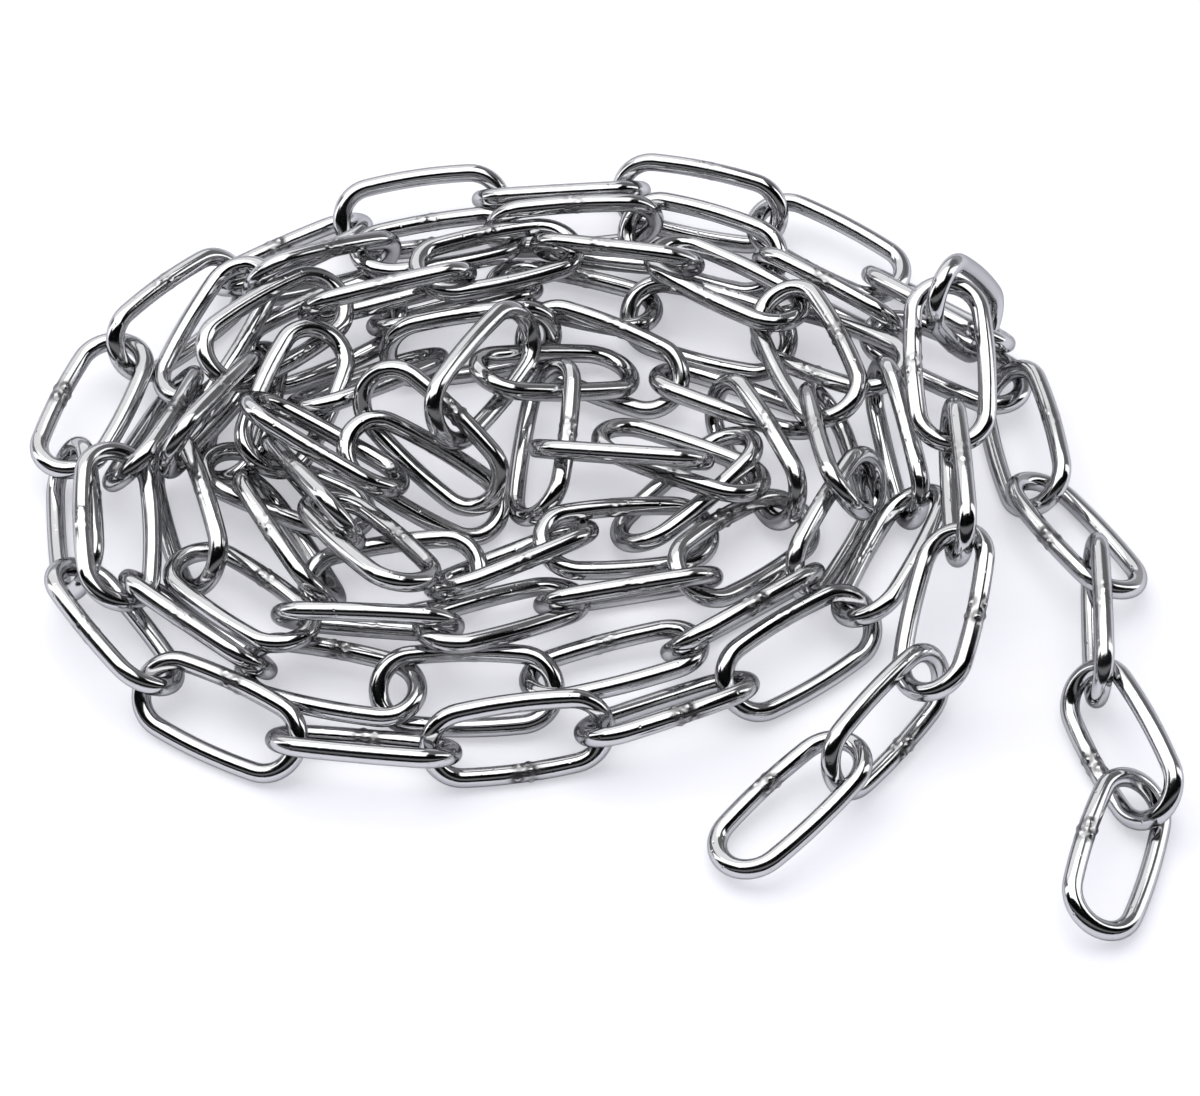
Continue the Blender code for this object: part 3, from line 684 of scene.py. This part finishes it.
def make_pits():
    """A group that gives small round pits where links have knocked together."""
    group, given, result = new_group(
        "pits and knocks",
        [("Density", NUMBER, PIT_DENSITY), ("Reach", NUMBER, PIT_REACH), ("Share", NUMBER, PIT_SHARE)],
        [("Height", NUMBER), ("Mask", NUMBER)],
    )
    where = add_node(group, "ShaderNodeTexCoord")
    cells = add_node(group, "ShaderNodeTexVoronoi",
                     {"Vector": where.outputs["Object"], "Scale": given.outputs["Density"]})
    near = add_node(group, "ShaderNodeMapRange",
                    {"Value": cells.outputs["Distance"], "From Min": given.outputs["Reach"],
                     "From Max": 0.0})
    # Every cell has a random colour, and only those below the share get a pit
    cell = add_node(group, "ShaderNodeSeparateColor", {0: cells.outputs["Color"]})
    chosen = add_node(group, "ShaderNodeMath",
                      {0: cell.outputs[0], 1: given.outputs["Share"]}, operation="LESS_THAN")
    mask = add_node(group, "ShaderNodeMath",
                    {0: near.outputs[0], 1: chosen.outputs[0]}, operation="MULTIPLY")
    deep = add_node(group, "ShaderNodeMath", {0: mask.outputs[0], 1: -1.0}, operation="MULTIPLY")
    group.links.new(deep.outputs[0], result.inputs["Height"])
    group.links.new(mask.outputs[0], result.inputs["Mask"])
    return group


pits = make_pits()
print(pits.name, "is ready")

# %% [markdown]
# ## Polished steel
# The Principled shader with Metallic at 1 reflects the studio, tinted by its base colour,
# which for steel is a light, hardly coloured grey. The roughness is low, and it varies:
# a perfectly even mirror looks like a computer's, not like a tumbled link.

# %% The polished wire
STEEL = (0.55, 0.55, 0.56, 1)
DULL_STEEL = (0.36, 0.355, 0.35, 1)
# The dark colour that the hollows round the weld's beads are given
DARK_IN_HOLLOWS = (0.06, 0.058, 0.056, 1)
EDGE_TINT = (0.45, 0.45, 0.46, 1)
# Soft clouds, about a centimetre wide, in which the polish is better or worse
CLOUD_SCALE = 90.0
CLOUD_DETAIL = 3.0
CLOUD_RANGE = (0.35, 0.7)
ROUGHNESS_RANGE = (0.07, 0.14)
ROUGHER_ON_LINES = 0.035
ROUGHER_IN_HOLLOWS = 0.25
LINE_BUMP = 0.10
PIT_BUMP = 0.5
BUMP_DEPTH = 0.1 * MM


def make_polished_steel():
    """Bright steel with drawing lines, small pits, and a darker colour in the weld's hollows."""
    material = bpy.data.materials.new("polished_steel")
    material.use_nodes = True
    tree = material.node_tree
    shader = tree.nodes["Principled BSDF"]
    shader.inputs["Metallic"].default_value = 1.0
    shader.inputs["Specular Tint"].default_value = EDGE_TINT
    wire = add_node(tree, "ShaderNodeAttribute", attribute_name="wire")
    hollow = add_node(tree, "ShaderNodeAttribute", attribute_name="hollow")
    lines = add_node(tree, "ShaderNodeGroup", node_tree=drawn_lines)
    tree.links.new(wire.outputs["Vector"], lines.inputs["Wire"])
    knocks = add_node(tree, "ShaderNodeGroup", node_tree=pits)
    where = add_node(tree, "ShaderNodeTexCoord")
    cloud = add_node(tree, "ShaderNodeTexNoise",
                     {"Vector": where.outputs["Object"], "Scale": CLOUD_SCALE, "Detail": CLOUD_DETAIL})
    polish = add_node(tree, "ShaderNodeMapRange",
                      {"Value": cloud.outputs[0],
                       "From Min": CLOUD_RANGE[0], "From Max": CLOUD_RANGE[1],
                       "To Min": ROUGHNESS_RANGE[0], "To Max": ROUGHNESS_RANGE[1]})
    lined = add_node(tree, "ShaderNodeMath",
                     {0: lines.outputs["Mask"], 1: ROUGHER_ON_LINES, 2: polish.outputs[0]},
                     operation="MULTIPLY_ADD")
    rough = add_node(tree, "ShaderNodeMath",
                     {0: hollow.outputs["Fac"], 1: ROUGHER_IN_HOLLOWS, 2: lined.outputs[0]},
                     operation="MULTIPLY_ADD")
    tree.links.new(rough.outputs[0], shader.inputs["Roughness"])
    tint = add_node(tree, "ShaderNodeMix", {"Factor": knocks.outputs["Mask"]}, data_type="RGBA")
    tint.inputs["A"].default_value = STEEL
    tint.inputs["B"].default_value = DULL_STEEL
    # The hollows round the weld's beads are made darker in colour
    darkened = add_node(tree, "ShaderNodeMix",
                    {"Factor": hollow.outputs["Fac"], "A": tint.outputs["Result"]}, data_type="RGBA")
    darkened.inputs["B"].default_value = DARK_IN_HOLLOWS
    tree.links.new(darkened.outputs["Result"], shader.inputs["Base Color"])
    fine = add_node(tree, "ShaderNodeBump",
                    {"Height": lines.outputs["Height"], "Strength": LINE_BUMP, "Distance": BUMP_DEPTH})
    dented = add_node(tree, "ShaderNodeBump",
                      {"Height": knocks.outputs["Height"], "Strength": PIT_BUMP,
                       "Distance": BUMP_DEPTH, "Normal": fine.outputs[0]})
    tree.links.new(dented.outputs[0], shader.inputs["Normal"])
    return material


polished_steel = make_polished_steel()
for piece in pieces:
    piece.data.materials.append(polished_steel)
print("material", polished_steel.name, "on", len(pieces), "pieces")

# %% [markdown]
# ## The floor
# A white paper sweep is the plainest stage. It is also the lower half of what the steel
# reflects, so it is made large. In the photograph even the floor between the links is
# nearly white, as on a light table, which glows through the paper. More light in the room
# would do that too, but it would wash out the steel. So the glow is mixed in only for rays
# that come from the camera, and the steel reflects the paper as it is.

# %% A white floor
FLOOR_HALF = 3.0
PAPER = (0.85, 0.85, 0.86, 1)
PAPER_ROUGHNESS = 0.7
PAPER_SHINE = 0.2
GLOW = (0.955, 0.955, 1.0, 1)
GLOW_STRENGTH = 1.1
GLOW_SHARE = 0.42


def make_paper():
    """White paper that glows a little when it is looked at directly."""
    paper = bpy.data.materials.new("white_paper")
    paper.use_nodes = True
    tree = paper.node_tree
    shader = tree.nodes["Principled BSDF"]
    shader.inputs["Base Color"].default_value = PAPER
    shader.inputs["Roughness"].default_value = PAPER_ROUGHNESS
    shader.inputs["Specular IOR Level"].default_value = PAPER_SHINE
    glow = add_node(tree, "ShaderNodeEmission", {"Color": GLOW, "Strength": GLOW_STRENGTH})
    ray = add_node(tree, "ShaderNodeLightPath")
    share = add_node(tree, "ShaderNodeMath",
                     {0: ray.outputs["Is Camera Ray"], 1: GLOW_SHARE}, operation="MULTIPLY")
    both = add_node(tree, "ShaderNodeMixShader",
                    {0: share.outputs[0], 1: shader.outputs[0], 2: glow.outputs[0]})
    tree.links.new(both.outputs[0], tree.nodes["Material Output"].inputs["Surface"])
    return paper


def add_floor():
    """A large white sheet under the heap."""
    corners = [(-FLOOR_HALF, -FLOOR_HALF, 0), (FLOOR_HALF, -FLOOR_HALF, 0),
               (FLOOR_HALF, FLOOR_HALF, 0), (-FLOOR_HALF, FLOOR_HALF, 0)]
    mesh = bpy.data.meshes.new("white_floor")
    mesh.from_pydata(corners, [], [(0, 1, 2, 3)])
    floor = bpy.data.objects.new("white_floor", mesh)
    floor.location.z = solid_low.z
    bpy.context.scene.collection.objects.link(floor)
    mesh.materials.append(make_paper())
    return floor


floor = add_floor()
print("floor at", round(floor.location.z / MM, 3), "mm")

# %% [markdown]
# ## The light
# Polished wire shows the whole studio squeezed across its width. A white tent all round
# would make it flat and pale. A photographer hangs a bright softbox overhead and a dimmer
# one behind the heap, keeps the room behind the camera dark, and lets the white floor light
# the undersides: each wire then has a grey edge, a white band, a dark band and a pale edge.
# In the photograph the shadows fall to the right, and the wires that lean to the right are
# dark grey along their middle, so both softboxes stand further to the left. As the heap sees
# them they overlap a little, because a gap between them would show as a thin broken line
# along every wire. Two narrow strips at the sides light the wires that run away from the
# camera.

# %% Softboxes
def add_softbox(name, azimuth, elevation, distance, size, power, to_left=0.0):
    """A flat area light in a direction given in degrees, then moved to the left."""
    turn, rise = math.radians(azimuth), math.radians(elevation)
    out = Vector((math.sin(turn) * math.cos(rise), math.cos(turn) * math.cos(rise), math.sin(rise)))
    light = bpy.data.lights.new(name, "AREA")
    light.shape = "RECTANGLE"
    light.size, light.size_y = size
    light.energy = power
    softbox = bpy.data.objects.new(name, light)
    softbox.location = out * distance - Vector((to_left, 0, 0))
    softbox.rotation_euler = out.to_track_quat("Z", "Y").to_euler()
    bpy.context.scene.collection.objects.link(softbox)
    return softbox


add_softbox("overhead_softbox", azimuth=0, elevation=80, distance=1.3,
            size=(1.8, 1.1), power=15.5, to_left=0.32)
add_softbox("back_softbox", azimuth=0, elevation=40, distance=1.3,
            size=(1.7, 1.1), power=6.4, to_left=0.65)
add_softbox("left_strip", azimuth=-78, elevation=26, distance=1.2, size=(0.3, 1.1), power=2.1)
add_softbox("right_strip", azimuth=78, elevation=22, distance=1.2, size=(0.3, 1.1), power=2.1)

# %% [markdown]
# ## The room
# The room has three jobs, and they pull apart: it should fill the shadows on the floor with
# pale violet light, show dark and light bands in the steel, and be a pale backdrop when the
# heap is seen from the side. Black cards round a white tent do this in a real studio. Here
# the Light Path node tells the world which kind of ray is asking, and a colour ramp lays
# the cards out as an arch, from the floor in front, over the top, to the floor behind.

# %% The room round the studio
FILL_LIGHT = (0.54, 0.54, 0.64, 1)
BACKDROP = (0.86, 0.87, 0.90, 1)
# Degrees up from the front along the arch, and how bright the room is there
ARCH = [(0, 0.01), (22, 0.01), (28, 0.22), (40, 0.22), (46, 0.0), (100, 0.0), (112, 0.18),
        (150, 0.20), (160, 0.45), (180, 0.60)]
# How much more blue than red the cards are
COOLNESS = 1.04


def add_arch(tree, way):
    """A colour ramp over the angle from the front, up and over to the back."""
    parts = add_node(tree, "ShaderNodeSeparateXYZ", {0: way})
    forward = add_node(tree, "ShaderNodeMath", {0: parts.outputs[1], 1: -1.0}, operation="MULTIPLY")
    angle = add_node(tree, "ShaderNodeMath",
                     {0: parts.outputs[2], 1: forward.outputs[0]}, operation="ARCTAN2")
    share = add_node(tree, "ShaderNodeMath", {0: angle.outputs[0], 1: math.pi}, operation="DIVIDE")
    ramp = add_node(tree, "ShaderNodeValToRGB", {0: share.outputs[0]})
    stops = ramp.color_ramp.elements
    # New stops start in the middle of the ramp, and then each goes to its place
    while len(stops) < len(ARCH):
        stops.new(0.5)
    for stop, (degrees, light) in zip(stops, ARCH):
        stop.position = degrees / 180
        stop.color = (light, light, light * COOLNESS, 1)
    return ramp.outputs[0]


def make_room():
    """A world that fills shadows, shows bands in the steel, and is pale behind the heap."""
    world = bpy.data.worlds.new("room")
    world.use_nodes = True
    tree = world.node_tree
    way = add_node(tree, "ShaderNodeTexCoord")
    arch = add_arch(tree, way.outputs["Generated"])
    ray = add_node(tree, "ShaderNodeLightPath")
    reflected = add_node(tree, "ShaderNodeMix",
                         {"Factor": ray.outputs["Is Glossy Ray"], "B": arch}, data_type="RGBA")
    reflected.inputs["A"].default_value = FILL_LIGHT
    seen = add_node(tree, "ShaderNodeMix",
                    {"Factor": ray.outputs["Is Camera Ray"], "A": reflected.outputs["Result"]},
                    data_type="RGBA")
    seen.inputs["B"].default_value = BACKDROP
    tree.links.new(seen.outputs["Result"], tree.nodes["Background"].inputs[0])
    bpy.context.scene.world = world
    return world


make_room()
bpy.context.scene.view_settings.view_transform = "Standard"
bpy.context.scene.view_settings.look = "None"
print("world", bpy.context.scene.world.name)
